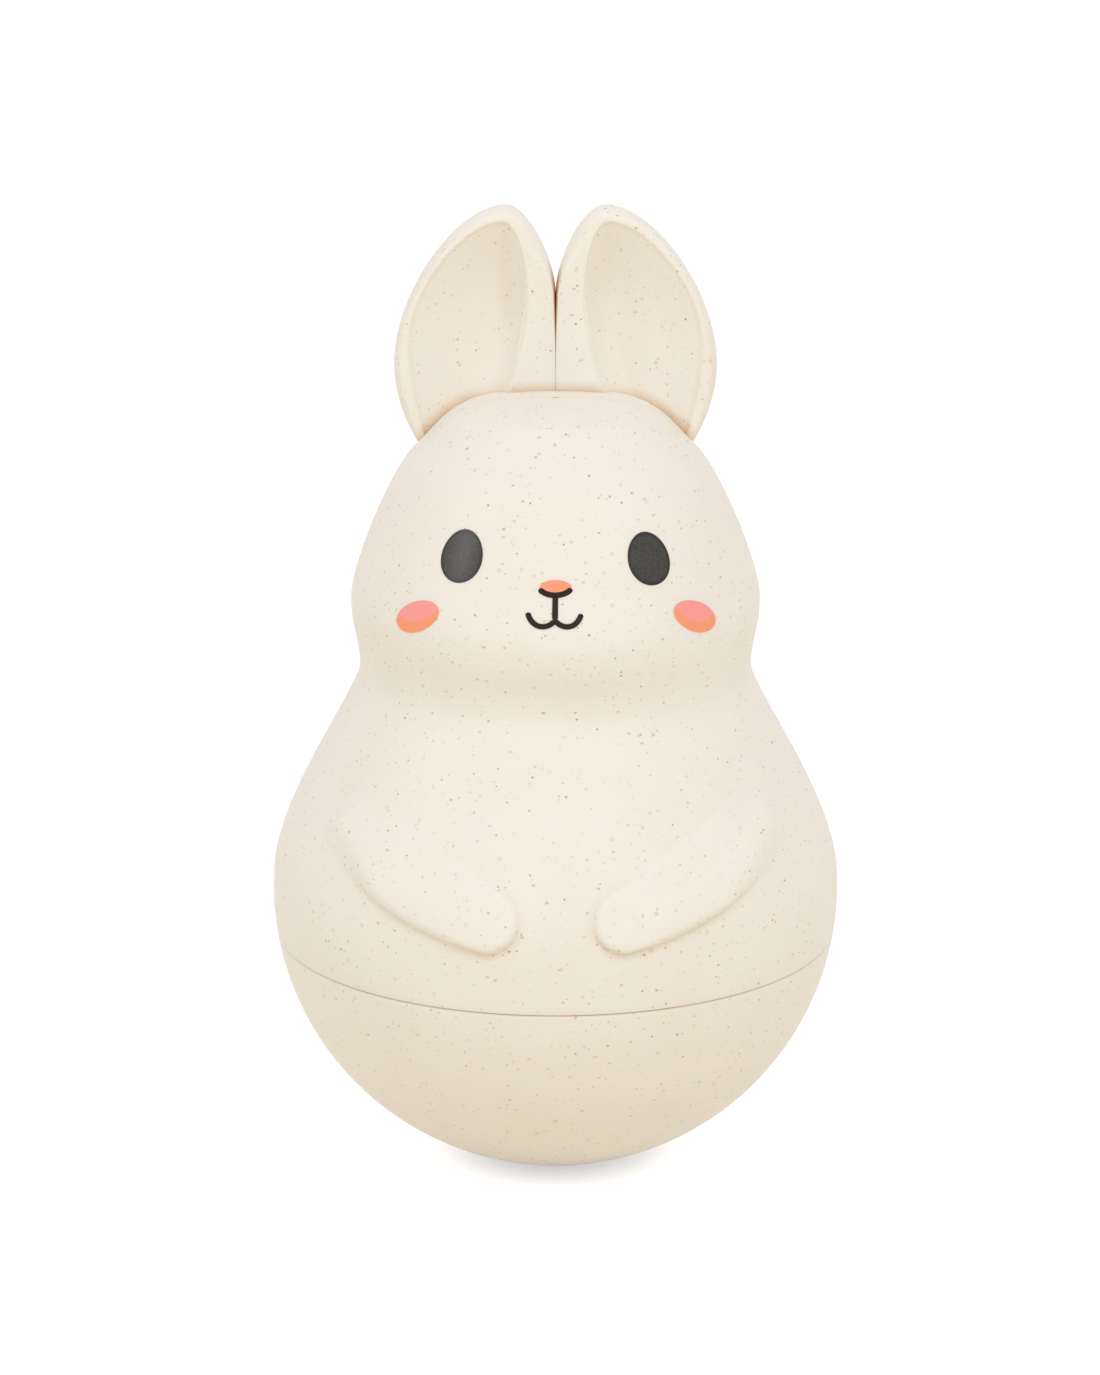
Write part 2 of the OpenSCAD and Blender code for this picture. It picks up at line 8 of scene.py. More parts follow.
import bmesh
import bpy
import numpy as np
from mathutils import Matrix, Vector


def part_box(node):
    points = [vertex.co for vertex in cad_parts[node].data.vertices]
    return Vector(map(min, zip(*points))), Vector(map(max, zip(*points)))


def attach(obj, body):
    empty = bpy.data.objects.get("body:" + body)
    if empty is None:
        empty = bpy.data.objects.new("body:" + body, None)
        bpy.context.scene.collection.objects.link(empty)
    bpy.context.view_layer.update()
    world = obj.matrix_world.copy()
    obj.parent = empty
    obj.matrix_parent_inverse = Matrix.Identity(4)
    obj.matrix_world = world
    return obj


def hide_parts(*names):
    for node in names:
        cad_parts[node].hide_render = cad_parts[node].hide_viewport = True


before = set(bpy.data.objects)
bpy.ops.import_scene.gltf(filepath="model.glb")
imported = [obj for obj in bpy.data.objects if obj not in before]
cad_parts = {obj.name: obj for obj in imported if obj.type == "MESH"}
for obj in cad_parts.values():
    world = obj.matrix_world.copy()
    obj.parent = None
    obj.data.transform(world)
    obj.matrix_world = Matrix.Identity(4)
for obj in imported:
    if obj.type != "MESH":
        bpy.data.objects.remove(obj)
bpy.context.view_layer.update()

MM = 0.001

# Body and head, as in the part's source
BASE_R = 45.0
FOOT_R = 6.0
SEAM_DROP = 6.8
SHOULDER_ANGLE = np.radians(4.2)
NECK_R = 30.9
NECK_RISE = 36.6
CHEEK_R = 32.2
CHEEK_RISE = 11.1
TEMPLE_R = 22.4
TEMPLE_RISE = 23.4
TEMPLE_ANGLE = np.radians(46.4)
CROWN_RISE = 8.5
WALL = 2.2
BOWL_WALL = 2.6
SPIGOT_RISE = 5.2
SPIGOT_WALL = 1.8
SPIGOT_GAP = 0.25
CHAMFER_SHARE = 0.25
POST_R = 3.4
POST_BORE = 1.25
POST_EDGE = 4.4
POST_GAP = 0.2
POST_COUNT = 3

CENTRE_Z = np.sqrt(BASE_R**2 - FOOT_R**2)
SEAM_Z = CENTRE_Z - SEAM_DROP
NECK_Z = CENTRE_Z + NECK_RISE
CHEEK_Z = NECK_Z + CHEEK_RISE
TEMPLE_Z = CHEEK_Z + TEMPLE_RISE
CROWN_Z = TEMPLE_Z + CROWN_RISE
SHELL_SEAM_R = np.sqrt((BASE_R - WALL)**2 - SEAM_DROP**2)

# Handles of the profile's curves: shares of the rise of each curve, and of the temples' radius at the crown
SHOULDER_HANDLE_SHARE = 0.34
NECK_LOW_HANDLE_SHARE = 0.13
NECK_HIGH_HANDLE_SHARE = 0.46
CHEEK_LOW_HANDLE_SHARE = 0.47
CHEEK_HIGH_HANDLE_SHARE = 0.2
TEMPLE_LOW_HANDLE_SHARE = 0.2
TEMPLE_HIGH_HANDLE_SHARE = 0.96
CROWN_HANDLE_SHARE = 0.78

# Chin: a low swelling of the face over the neck, with its height and its reach both ways
CHIN_RELIEF = 1.3
CHIN_Z = 91.5
CHIN_REACH = 9.5
CHIN_TURN = np.radians(55)

# Edges of the mouldings: how far each is rounded, the gap that the seam shows, the bands along the seam that
# are left to the edges' own rows, the places of those rows on a shell, and the widest turn in radians that
# the split's edge takes near the crown
SHELL_EDGE = 0.12
BOWL_EDGE = 0.6
SPLIT_EDGE = 0.12
SEAM_GAP = 0.04
SHELL_BAND = 0.6
BOWL_BAND = 1.0
EDGE_ROW_SHARES = np.array([0, 0.25, 0.55, 1])
SPLIT_TURN_LIMIT = 0.2

# Arms: turn from the front and rise above the ball's centre of both ends, widths, relief, handles of the
# middle line, widths of the edges, steps of the upper side, and the part of the shell that holds them
PAW_TURN = np.radians(8.5)
PAW_RISE = 6.6
UPPER_TURN = np.radians(61.5)
UPPER_RISE = 18.7
PAW_W = 8.3
UPPER_W = 13.2
PAW_RELIEF = 1.6
UPPER_RELIEF = 1.7
ARM_ARCH_SHARES = [[0.3, 0.26], [0.7, 0.95]]
SWELL_SHARE = 0.55
PAW_EDGE = 1.3
LOW_EDGE = 2.1
UPPER_EDGE = 6.5
TOP_STEP_SHARE = 0.13
PAW_STEP_SHARE = 0.35
LEFT_LINE_STEP = 0.2
LEFT_LINE_W = 0.7
ARM_BAND_TURN = np.radians(67)
ARM_MARGIN_SHARE = 0.6

# Shares of the way along an arm from its paw: ends of the narrow edge and the high step of the paw, start
# of the soft edge, and start of the fade of the left arm's fine step
PAW_EDGE_END_SHARE = 0.25
PAW_STEP_END_SHARE = 0.2
SOFT_START_SHARE = 0.45
LINE_FADE_SHARE = 0.7

# Shares of the way across an arm from its middle line up: start of the fall, and where the fine step is full
FALL_START_SHARE = -0.8
LINE_FULL_SHARE = 0.7

# Ears: outline box, place and depth, rounding of the rim, free and where the ears touch, the step and the
# floor of the hollow, and the outlines and middles of the ear and its hollow as shares of the box
EAR_W = 25.4
EAR_RISE = 28.8
EAR_SINK = 18.0
EAR_SET_BACK = 8.5
EAR_FRONT = 3.4
EAR_BACK = 4.8
EAR_ROOT = 1.2
RIM_ROUND = 2.6
TOUCH_ROUND = 0.5
RIM_LIMIT_SHARE = 0.8
BACK_POWER = 2/3
HOLLOW_STEP = 0.8
HOLLOW_STEP_W = 0.9
HOLLOW_DEPTH = 5.0
INNER_POWER = 3.0
OUTER_POWER = 1.8
INWARD_SHARES = [-0.3, 0.9]
EAR_EDGE_SHARES = [
    [0.305, 1], [0.6, 1], [1, 0.705],
    [1, 0.455], [1, 0.265], [0.73, 0],
    [0.3, 0], [-0.05, 0], [-0.03, 0.35],
    [0, 0.7], [0, 0.81], [0.165, 1],
]
HOLLOW_EDGE_SHARES = [
    [0.327, 0.962], [0.552, 0.962], [0.918, 0.735],
    [0.918, 0.527], [0.918, 0.4], [0.8, 0.1],
    [0.64, 0.1], [0.48, 0.1], [0.164, 0.47],
    [0.164, 0.67], [0.164, 0.834], [0.235, 0.962],
]
HOLLOW_HEART_SHARE = [0.34, 0.6]
EAR_HEART_SHARE = [0.48, 0.5]

# Face prints: how far a film stands over and under the surface, and a film over another one
FILM = 0.04
OVERPRINT = 0.07

# Eyes and cheeks, the left one first where they differ: turns from the front, heights, tilts, half sizes,
# and how far up an oval moves to leave bare the crescent of a second ink
EYE_TURNS = np.radians([30.04, 30.51])
EYE_HEIGHTS = [104.76, 105.09]
EYE_TILTS = np.radians([4, 0])
EYE_HALF_W = 3.62
EYE_HALF_H = 4.18
EYE_EGG_SHARE = 0.03
CHEEK_TURNS = np.radians([42.43, 42.03])
CHEEK_PRINT_Z = 95.25
CHEEK_TILT = np.radians(21)
CHEEK_HALF_W = 4.48
CHEEK_HALF_H = 2.35
CHEEK_MOVE = 1.75

# Nose, and the strokes of the mouth as four corners and a thickness, in flat places about the nose's middle
NOSE_Z = 101.38
NOSE_HALF_W = 2.45
NOSE_HALF_H = 1.32
NOSE_MOVE = 2.2
MOUTH_STROKES = [
    ([[-2.5, -0.05], [-1.5, -1.35], [1.4, -1.35], [2.4, 0.0]], 0.86),
    ([[-0.05, -1.0], [-0.08, -2.3], [-0.1, -3.7], [-0.1, -4.85]], 0.85),
    ([[-0.1, -4.85], [-1.0, -6.15], [-3.3, -6.4], [-4.08, -3.7]], 0.8),
    ([[-0.1, -4.85], [0.8, -6.15], [2.9, -6.4], [3.7, -3.9]], 0.8),
]

# Fibre-filled plastic: reach of the painted shade, a honey tint, out of a corner, width of the clouds, and
# width and height of the skin's grain
PAINTED_SHADE_REACH = 1.8
CLOUD_W = 14.0
SKIN_GRAIN = 0.7
SKIN_HEIGHT = 0.02

# Flecks: move in metres and turn in radians from one layer to the next, smallest radius as a share of the
# largest, full-coloured core as a share of the radius, and faintest strength as a share of the strongest
FLECK_MOVE = np.array([0.013, 0.029, 0.017])
FLECK_TURN = np.array([0.5, 0.9, 0.3])
SMALLEST_FLECK_SHARE = 0.35
FLECK_CORE_SHARE = 0.45
FAINTEST_FLECK_SHARE = 0.15

# Floor: height over it within which the toy darkens it, power of the shadow's fading, glow at the contact
# and in the open, the glow's share in what is seen, and half the floor's width in metres
SHADOW_HEIGHT = 3.5
SHADOW_POWER = 0.5
CONTACT_GLOW = 0.62
OPEN_GLOW = 1.3
GLOW_SHARE = 0.7
FLOOR_HALF = 6.0

# Studio, in metres and watts: level of the surroundings, what the softboxes face, and the softboxes with
# their places, sizes and powers
WORLD_LEVEL = 0.735
TOY_MIDDLE = (0.0, 0.0, 0.075)
SOFTBOXES = [
    ("front_softbox", (-0.15, -1.0, 1.1), 0.6, 1.8),
    ("right_softbox", (0.55, -0.92, 1.1), 0.6, 3.0),
    ("left_softbox", (-1.12, -0.58, 0.72), 0.3, 1.1),
]

# Camera, in metres, and its lens and sensor in millimetres
CAMERA_PLACE = (-0.00087, -0.8645, 0.3274)
CAMERA_AIM = (-0.00087, 0.0, 0.0771)
CAMERA_LENS = 148.92
CAMERA_SENSOR = 36.0
CAMERA_NEAR = 0.05

# Sockets of a Mix node that mixes colours, whose names it shares with its other kinds
MIX_SHARE = 0
MIX_FIRST = 6
MIX_SECOND = 7
MIX_COLOUR = 2

# Meshes: distance within which points are merged, and angle over which an edge is sharp
MERGE = 0.002
SHARP_ANGLE = np.radians(38)

# Fineness of the meshes: points along curves, and rows and columns of surfaces. A shell has rows below, at
# and above the height of the arms, columns beside, across and beside their width, and fewer rows inside
ARC_POINTS = 60
CURVE_POINTS = 240
ARM_POINTS = 241
EAR_CURVE_POINTS = 60
STROKE_POINTS = 61
STROKE_ROWS = 9
BOWL_OUTSIDE_ROWS = 90
BOWL_EDGE_ROWS = 9
BOWL_INSIDE_ROWS = 60
BOWL_COLUMNS = 288
POST_COLUMNS = 32
FRONT_ROWS = [14, 110, 90]
FRONT_COLUMNS = [12, 330, 12]
BACK_ROWS = [20, 50, 90]
BACK_COLUMNS = [12, 150, 12]
INNER_ROW_STEP = 4
OVAL_RING_SHARES = np.linspace(0, 1, 25)[:, None]
OVAL_COLUMNS = 96

# Rings of an ear on its hollow's floor, up the step, over the lip, round the rim and over the back
FLOOR_RINGS = 30
STEP_RINGS = 10
LIP_RINGS = 7
RIM_RINGS = 11
BACK_RINGS = 25


def bezier(corners, t):
    """Points a(1-t)^3 + 3bt(1-t)^2 + 3ct^2(1-t) + dt^3 of the cubic curve with corners a, b, c and d."""
    a, b, c, d = (np.asarray(corner, float) for corner in corners)
    t = np.asarray(t)[..., None]
    return a*(1 - t)**3 + 3*b*t*(1 - t)**2 + 3*c*t**2*(1 - t) + d*t**3


def ramp(value, low, high):
    """0 below low, 1 above high, and between them the smooth S of t^2(3 - 2t)."""
    t = np.clip((value - low)/(high - low), 0, 1)
    return t*t*(3 - 2*t)


def rounded(distance, radius):
    """How far a quarter-circle edge of that radius falls back from the surface, at a distance in from it."""
    left = np.clip(radius - distance, 0, radius)
    return radius - np.sqrt(radius**2 - left**2)


def along_line(line):
    """Unit way along a line of points, and the length from its start to each of them."""
    way = np.gradient(line, axis=0)
    way /= np.linalg.norm(way, axis=1)[:, None]
    steps = np.linalg.norm(np.diff(line, axis=0), axis=1)
    return way, np.concatenate([[0], np.cumsum(steps)])


def body_path():
    """The outer half profile from the seam to the crown: path length, radius, height, outward normal.

    A circular arc of the ball up to the shoulder, then four cubic curves: shoulder to neck, neck to
    cheeks, cheeks to temples, temples to crown.
    """
    low = -np.arcsin(SEAM_DROP/BASE_R)
    angle = np.linspace(low, SHOULDER_ANGLE, ARC_POINTS)
    arc = np.stack([BASE_R*np.cos(angle), CENTRE_Z + BASE_R*np.sin(angle)], axis=-1)
    shoulder = arc[-1]
    shoulder_way = np.array([-np.sin(SHOULDER_ANGLE), np.cos(SHOULDER_ANGLE)])
    neck = np.array([NECK_R, NECK_Z])
    cheek = np.array([CHEEK_R, CHEEK_Z])
    temple = np.array([TEMPLE_R, TEMPLE_Z])
    temple_way = np.array([-np.sin(TEMPLE_ANGLE), np.cos(TEMPLE_ANGLE)])
    crown = np.array([0.0, CROWN_Z])
    up = np.array([0.0, 1.0])
    rise = NECK_Z - shoulder[1]
    curves = [
        [
            shoulder,
            shoulder + shoulder_way*SHOULDER_HANDLE_SHARE*rise,
            neck - up*NECK_LOW_HANDLE_SHARE*rise,
            neck,
        ],
        [
            neck,
            neck + up*NECK_HIGH_HANDLE_SHARE*CHEEK_RISE,
            cheek - up*CHEEK_LOW_HANDLE_SHARE*CHEEK_RISE,
            cheek,
        ],
        [
            cheek,
            cheek + up*CHEEK_HIGH_HANDLE_SHARE*TEMPLE_RISE,
            temple - temple_way*TEMPLE_LOW_HANDLE_SHARE*TEMPLE_RISE,
            temple,
        ],
        [
            temple,
            temple + temple_way*TEMPLE_HIGH_HANDLE_SHARE*CROWN_RISE,
            [TEMPLE_R*CROWN_HANDLE_SHARE, CROWN_Z],
            crown,
        ],
    ]
    t = np.linspace(0, 1, CURVE_POINTS)[1:]
    line = np.vstack([arc] + [bezier(curve, t) for curve in curves])
    way, length = along_line(line)
    return length, line[:, 0], line[:, 1], way[:, 1], -way[:, 0]


# The profile's path length, radius, height and outward normal, point by point
PATH, PATH_R, PATH_Z, PATH_NR, PATH_NZ = body_path()
PATH_END = PATH[-1]


def path_at(height):
    """Path length at which the body reaches that height."""
    return np.interp(height, PATH_Z, PATH)


def body_radius(length):
    """Radius of the body at that path length."""
    return np.interp(length, PATH, PATH_R)


def chin(turn, length):
    """Height of the chin, the product of a bell (1 - x^2)^2 up the face and one round it."""
    up = np.minimum(np.abs(length - path_at(CHIN_Z))/CHIN_REACH, 1)
    around = np.minimum(np.abs(turn)/CHIN_TURN, 1)
    return CHIN_RELIEF*(1 - up**2)**2*(1 - around**2)**2


def on_body(turn, length, lift):
    """Points at a turn from the front, positive to the toy's left, and a path length, lifted off the body.

    The point of the profile moves by lift and the chin along the profile's normal, and is then turned
    about the Z axis.
    """
    lift = lift + chin(turn, length)
    r = body_radius(length) + np.interp(length, PATH, PATH_NR)*lift
    z = np.interp(length, PATH, PATH_Z) + np.interp(length, PATH, PATH_NZ)*lift
    return np.stack(np.broadcast_arrays(r*np.sin(turn), -r*np.cos(turn), z), axis=-1)


def head_top(x, y):
    """Height of the head's surface over a point, above the cheeks."""
    top = PATH_Z > CHEEK_Z
    return np.interp(np.hypot(x, y), PATH_R[top][::-1], PATH_Z[top][::-1])


def grid_faces(rows, columns, closed_rows=False, closed_columns=False):
    """Four-cornered faces over a grid of points numbered row by row, closed either way if asked."""
    number = np.arange(rows*columns).reshape(rows, columns)
    if closed_rows:
        number = np.vstack([number, number[:1]])
    if closed_columns:
        number = np.hstack([number, number[:, :1]])
    corners = [number[:-1, :-1], number[:-1, 1:], number[1:, 1:], number[1:, :-1]]
    return np.stack(corners, axis=-1).reshape(-1, 4)


def make_piece(name, parts, material, replaced=None, marks=None):
    """Make a piece that rides on the toy, from parts in millimetres: points, and arrays of faces over them.

    The parts are joined into one mesh, points that meet are merged, and every closed part is turned
    outwards. marks are values kept on the points for the material to read.
    """
    points = np.empty((0, 3))
    faces = []
    for part_points, part_faces in parts:
        for block in part_faces:
            faces += (len(points) + block).tolist()
        points = np.vstack([points, part_points.reshape(-1, 3)])
    mesh = bpy.data.meshes.new(name)
    mesh.from_pydata((points*MM).tolist(), [], faces)
    for mark, values in (marks or {}).items():
        layer = mesh.attributes.new(mark, "FLOAT", "POINT")
        layer.data.foreach_set("value", np.asarray(values, np.float32).ravel())
    work = bmesh.new()
    work.from_mesh(mesh)
    bmesh.ops.remove_doubles(work, verts=work.verts, dist=MERGE*MM)
    bmesh.ops.recalc_face_normals(work, faces=work.faces)
    work.to_mesh(mesh)
    work.free()
    mesh.shade_smooth()
    mesh.set_sharp_from_angle(angle=SHARP_ANGLE)
    mesh.materials.append(material)
    piece = bpy.data.objects.new(name, mesh)
    bpy.context.scene.collection.objects.link(piece)
    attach(piece, "toy")
    if replaced:
        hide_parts(replaced)


def revolved(section):
    """A section of radius and height carried round the Z axis, with its two ends on the axis."""
    turn = np.linspace(0, 2*np.pi, BOWL_COLUMNS, endpoint=False)
    r = section[:, :1]
    z = section[:, 1:]
    points = np.stack(np.broadcast_arrays(r*np.sin(turn), -r*np.cos(turn), z), axis=-1)
    return points, [grid_faces(*points.shape[:2], closed_columns=True)]


def bowl_section():
    """The bowl's wall: flat foot, ball up to the rounded seam edge, spigot, and the inside of the ball."""
    foot = np.arcsin(FOOT_R/BASE_R)
    seam = np.arccos((SEAM_DROP + SEAM_GAP/2)/BASE_R)
    from_edge = np.concatenate([
        np.linspace(BASE_R*(seam - foot), BOWL_BAND, BOWL_OUTSIDE_ROWS),
        np.linspace(BOWL_EDGE, 0, BOWL_EDGE_ROWS),
    ])
    angle = seam - from_edge/BASE_R
    reach = BASE_R - rounded(from_edge, BOWL_EDGE)
    outside = np.stack([reach*np.sin(angle), CENTRE_Z - reach*np.cos(angle)], axis=-1)
    top = outside[-1, 1]
    spigot_r = SHELL_SEAM_R - SPIGOT_GAP
    inner_r = BASE_R - BOWL_WALL
    spigot_angle = np.arcsin((spigot_r - SPIGOT_WALL)/inner_r)
    chamfer = SPIGOT_WALL*CHAMFER_SHARE
    spigot_top = SEAM_Z + SPIGOT_RISE
    spigot = np.array([
        [spigot_r, top],
        [spigot_r, spigot_top - chamfer],
        [spigot_r - chamfer, spigot_top],
        [spigot_r - SPIGOT_WALL + chamfer, spigot_top],
        [spigot_r - SPIGOT_WALL, spigot_top - chamfer],
    ])
    angle = np.linspace(spigot_angle, 0, BOWL_INSIDE_ROWS)
    inside = np.stack([inner_r*np.sin(angle), CENTRE_Z - inner_r*np.cos(angle)], axis=-1)
    return np.vstack([[[0, 0]], outside, spigot, inside])


def screw_post(turn, ring_r, top):
    """A bored post for a ballast screw: rings down the outside, into the bowl's wall, and up the bore."""
    around = np.linspace(0, 2*np.pi, POST_COLUMNS, endpoint=False)
    radius = np.array([POST_BORE, POST_R, POST_R, POST_BORE])[:, None]
    x = ring_r*np.cos(turn) + radius*np.cos(around)
    y = ring_r*np.sin(turn) + radius*np.sin(around)
    root = CENTRE_Z - np.sqrt((BASE_R - BOWL_WALL/2)**2 - x**2 - y**2)
    at_top = np.array([True, True, False, False])[:, None]
    points = np.stack([x, y, np.where(at_top, top, root)], axis=-1)
    return points, [grid_faces(*x.shape, closed_rows=True, closed_columns=True)]


def arm_line():
    """Middle line of an arm in the unrolled surface: places, way, and half width between the round ends.

    The line is a cubic curve in turn and height from paw to upper arm. It is cut back by a half width at
    both ends, so that a round end reaches the arm's tip. The width swells by s(2 - s) over the swell
    share of its length.
    """
    ends = np.array([[PAW_TURN, PAW_RISE], [UPPER_TURN, UPPER_RISE]])
    handles = ends[0] + (ends[1] - ends[0])*ARM_ARCH_SHARES
    line = bezier([ends[0], handles[0], handles[1], ends[1]], np.linspace(0, 1, ARM_POINTS))
    place = np.stack([line[:, 0]*BASE_R, path_at(CENTRE_Z + line[:, 1])], axis=-1)
    way, length = along_line(place)
    swell = np.minimum(length/length[-1]/SWELL_SHARE, 1)
    half = (PAW_W + (UPPER_W - PAW_W)*swell*(2 - swell))/2
    kept = (length >= PAW_W/2) & (length <= length[-1] - UPPER_W/2)
    return place[kept], way[kept], half[kept]


# Arms in the unrolled surface, and the path lengths between which they lie
ARM_PLACE, ARM_WAY, ARM_HALF = arm_line()
ARM_LOW = ARM_PLACE[:, 1].min() - PAW_W
ARM_HIGH = ARM_PLACE[:, 1].max() + UPPER_W*ARM_MARGIN_SHARE


def arm_relief(turn, length):
    """Height of both arms over the body's surface, at turns from the front and path lengths.

    An arm is all that lies within its half width of its middle line. From its outline the height rises by
    1 - (1 - depth/edge)^3 over a narrow edge at the paw, which passes into a smooth S over a wide one at the
    upper arm. From the lower side to the upper one it falls in a smooth S to a small step, which is higher
    at the paw. On the left arm a fine step runs along the upper side too, as the mould left it.
    """
    places = np.stack([np.abs(turn)*BASE_R, length], axis=-1).astype(np.float32)
    offset = places[:, None] - ARM_PLACE.astype(np.float32)
    nearest = np.argmin((offset**2).sum(axis=-1), axis=1)
    offset = places - ARM_PLACE[nearest]
    way = ARM_WAY[nearest]
    half = ARM_HALF[nearest]
    share = nearest/(len(ARM_HALF) - 1)
    at_end = (nearest == 0) | (nearest == len(ARM_HALF) - 1)
    over = np.where(at_end, (way*offset).sum(axis=1), 0)
    across = way[:, 0]*offset[:, 1] - way[:, 1]*offset[:, 0]
    depth = half - np.hypot(across, over)
    soft = ramp(share, SOFT_START_SHARE, 1)
    past_paw = ramp(share, 0, PAW_EDGE_END_SHARE)
    edge = PAW_EDGE + (LOW_EDGE - PAW_EDGE)*past_paw + (UPPER_EDGE - LOW_EDGE)*soft
    within = np.clip(depth/edge, 0, 1)
    rise = (1 - soft)*(1 - (1 - within)**3) + soft*ramp(within, 0, 1)
    at_paw = 1 - ramp(share, 0, PAW_STEP_END_SHARE)
    step = TOP_STEP_SHARE + (PAW_STEP_SHARE - TOP_STEP_SHARE)*at_paw
    fall = 1 - (1 - step)*ramp(across/half, FALL_START_SHARE, 1)
    relief = PAW_RELIEF + (UPPER_RELIEF - PAW_RELIEF)*ramp(share, 0, 1)
    line = LEFT_LINE_STEP*(turn > 0)*ramp(depth, 0, LEFT_LINE_W)*ramp(across/half, 0, LINE_FULL_SHARE)
    return relief*rise*fall + line*(1 - ramp(share, LINE_FADE_SHARE, 1))


def half_shell(facing, with_arms):
    """Half of the body and head as a closed wall, turned by facing from the front.

    Rows run up the outer profile from the seam to the crown and down the inner one, columns run from
    split to split, and both lie close together where the arms are. The outer surface falls back at the
    seam and at the split as a round edge does. The two end columns lie in the split plane and are closed
    by one face each.
    """
    row_counts = FRONT_ROWS if with_arms else BACK_ROWS
    row_ends = [[SHELL_BAND, ARM_LOW], [ARM_LOW, ARM_HIGH], [ARM_HIGH, PATH_END]]
    spread = [np.linspace(*ends, count) for ends, count in zip(row_ends, row_counts)]
    outer = np.unique(np.concatenate([SHELL_EDGE*EDGE_ROW_SHARES] + spread))
    inner = outer[:len(EDGE_ROW_SHARES):-INNER_ROW_STEP]
    rows = np.concatenate([outer, inner, [0]])[:, None]
    band = ARM_BAND_TURN/(np.pi/2)
    column_counts = FRONT_COLUMNS if with_arms else BACK_COLUMNS
    column_ends = [[-1, -band], [-band, band], [band, 1]]
    share = np.unique(np.concatenate([
        np.linspace(*ends, count) for ends, count in zip(column_ends, column_counts)
    ]))
    r = np.maximum(body_radius(rows), SPLIT_EDGE)
    rim = np.minimum(SPLIT_EDGE/r, SPLIT_TURN_LIMIT)
    rim_turn = np.pi/2 - rim*EDGE_ROW_SHARES[:-1]
    turn = np.hstack([-rim_turn, share*(np.pi/2 - rim), rim_turn[:, ::-1]])
    lift = -rounded(rows, SHELL_EDGE) - rounded(r*(np.pi/2 - np.abs(turn)), SPLIT_EDGE)
    lift[len(outer):] = -WALL
    rows = np.broadcast_to(rows, turn.shape)
    if with_arms:
        near = (rows > ARM_LOW) & (rows < ARM_HIGH) & (np.abs(turn) < ARM_BAND_TURN)
        near[len(outer):] = False
        lift[near] += arm_relief(turn[near], rows[near])
    points = on_body(turn + facing, rows, lift)
    # The wall's lower edge is flat, in the plane of the seam
    points[-1, :, :2] *= SHELL_SEAM_R/(PATH_R[0] - WALL*PATH_NR[0])
    points[[0, -1], :, 2] = SEAM_Z + SEAM_GAP/2
    count, columns = turn.shape
    first_column = np.arange(count)*columns
    split_faces = np.stack([first_column, first_column + columns - 1])
    return points, [grid_faces(count, columns, closed_rows=True), split_faces]


def closed_chain(shares):
    """Points round a closed chain of four cubic curves, given as knot, handle, handle and so on."""
    corners = np.array(shares + shares[:1], float)
    t = np.linspace(0, 1, EAR_CURVE_POINTS, endpoint=False)
    return np.vstack([bezier(corners[3*k:3*k + 4], t) for k in range(4)])


def in_ear_box(shares):
    """Flat places in the plane of an ear, from shares of its outline's box."""
    return np.asarray(shares)*[EAR_W, EAR_SINK + EAR_RISE] + [0, CROWN_Z - EAR_SINK]


def ear(side):
    """One ear as a closed solid of rings: hollow floor, step, lip, rounded rim and domed back.

    The floor falls from its edge to the hollow's heart with a power of the way from the heart: a high one
    towards the inner wall, which is steep, and a low one towards the outer rim, where it is a slope. A
    step leads up to the flat lip, whose outer edge is a quarter ellipse, narrower where the ears touch.
    The back is a dome of cube power. The two ears meet flat, and points inside the head stop a little
    under its surface.
    """
    edge = in_ear_box(closed_chain(EAR_EDGE_SHARES))
    hollow = in_ear_box(closed_chain(HOLLOW_EDGE_SHARES))
    heart = in_ear_box(HOLLOW_HEART_SHARE)
    back_heart = in_ear_box(EAR_HEART_SHARE)
    wide = np.linalg.norm(hollow - heart, axis=1)[:, None]
    lip = np.linalg.norm(edge - hollow, axis=1)[:, None]
    inward = ramp((heart - hollow)[:, :1]/wide, *INWARD_SHARES)
    power = OUTER_POWER + (INNER_POWER - OUTER_POWER)*inward
    rows = []
    for share in np.linspace(0, 1, FLOOR_RINGS):
        spread = share*(1 - HOLLOW_STEP_W/wide)
        depth = HOLLOW_STEP + HOLLOW_DEPTH*(1 - share**power)
        rows.append((heart + (hollow - heart)*spread, depth - EAR_FRONT))
    for share in np.linspace(0, 1, STEP_RINGS + 1)[1:]:
        spread = 1 - HOLLOW_STEP_W*(1 - share)/wide
        depth = HOLLOW_STEP*(1 - ramp(share, 0, 1))
        rows.append((heart + (hollow - heart)*spread, depth - EAR_FRONT))
    touch_round = TOUCH_ROUND + (RIM_ROUND - TOUCH_ROUND)*ramp(edge[:, :1], 0, RIM_ROUND)
    rim = np.minimum(touch_round, lip*RIM_LIMIT_SHARE)
    for share in np.linspace(0, 1, LIP_RINGS + 1)[1:]:
        reach = rim + (lip - rim)*(1 - share)
        rows.append((edge + (hollow - edge)/lip*reach, -EAR_FRONT))
    for angle in np.linspace(np.pi/2, 0, RIM_RINGS + 1)[1:]:
        reach = rim*(1 - np.cos(angle))
        rows.append((edge + (hollow - edge)/lip*reach, -EAR_FRONT*np.sin(angle)))
    for angle in np.linspace(0, np.pi/2, BACK_RINGS + 1)[1:]:
        spread = np.cos(angle)**BACK_POWER
        depth = EAR_BACK*np.sin(angle)**BACK_POWER
        rows.append((back_heart + (edge - back_heart)*spread, depth))
    flat = np.array([place for place, depth in rows])
    x = np.maximum(flat[..., 0], 0)
    y = EAR_SET_BACK + np.array([np.broadcast_to(depth, wide.shape) for place, depth in rows])[..., 0]
    z = np.maximum(flat[..., 1], head_top(x, y) - EAR_ROOT)
    points = np.stack([side*x, y, z], axis=-1)
    return points, [grid_faces(*x.shape, closed_columns=True)]


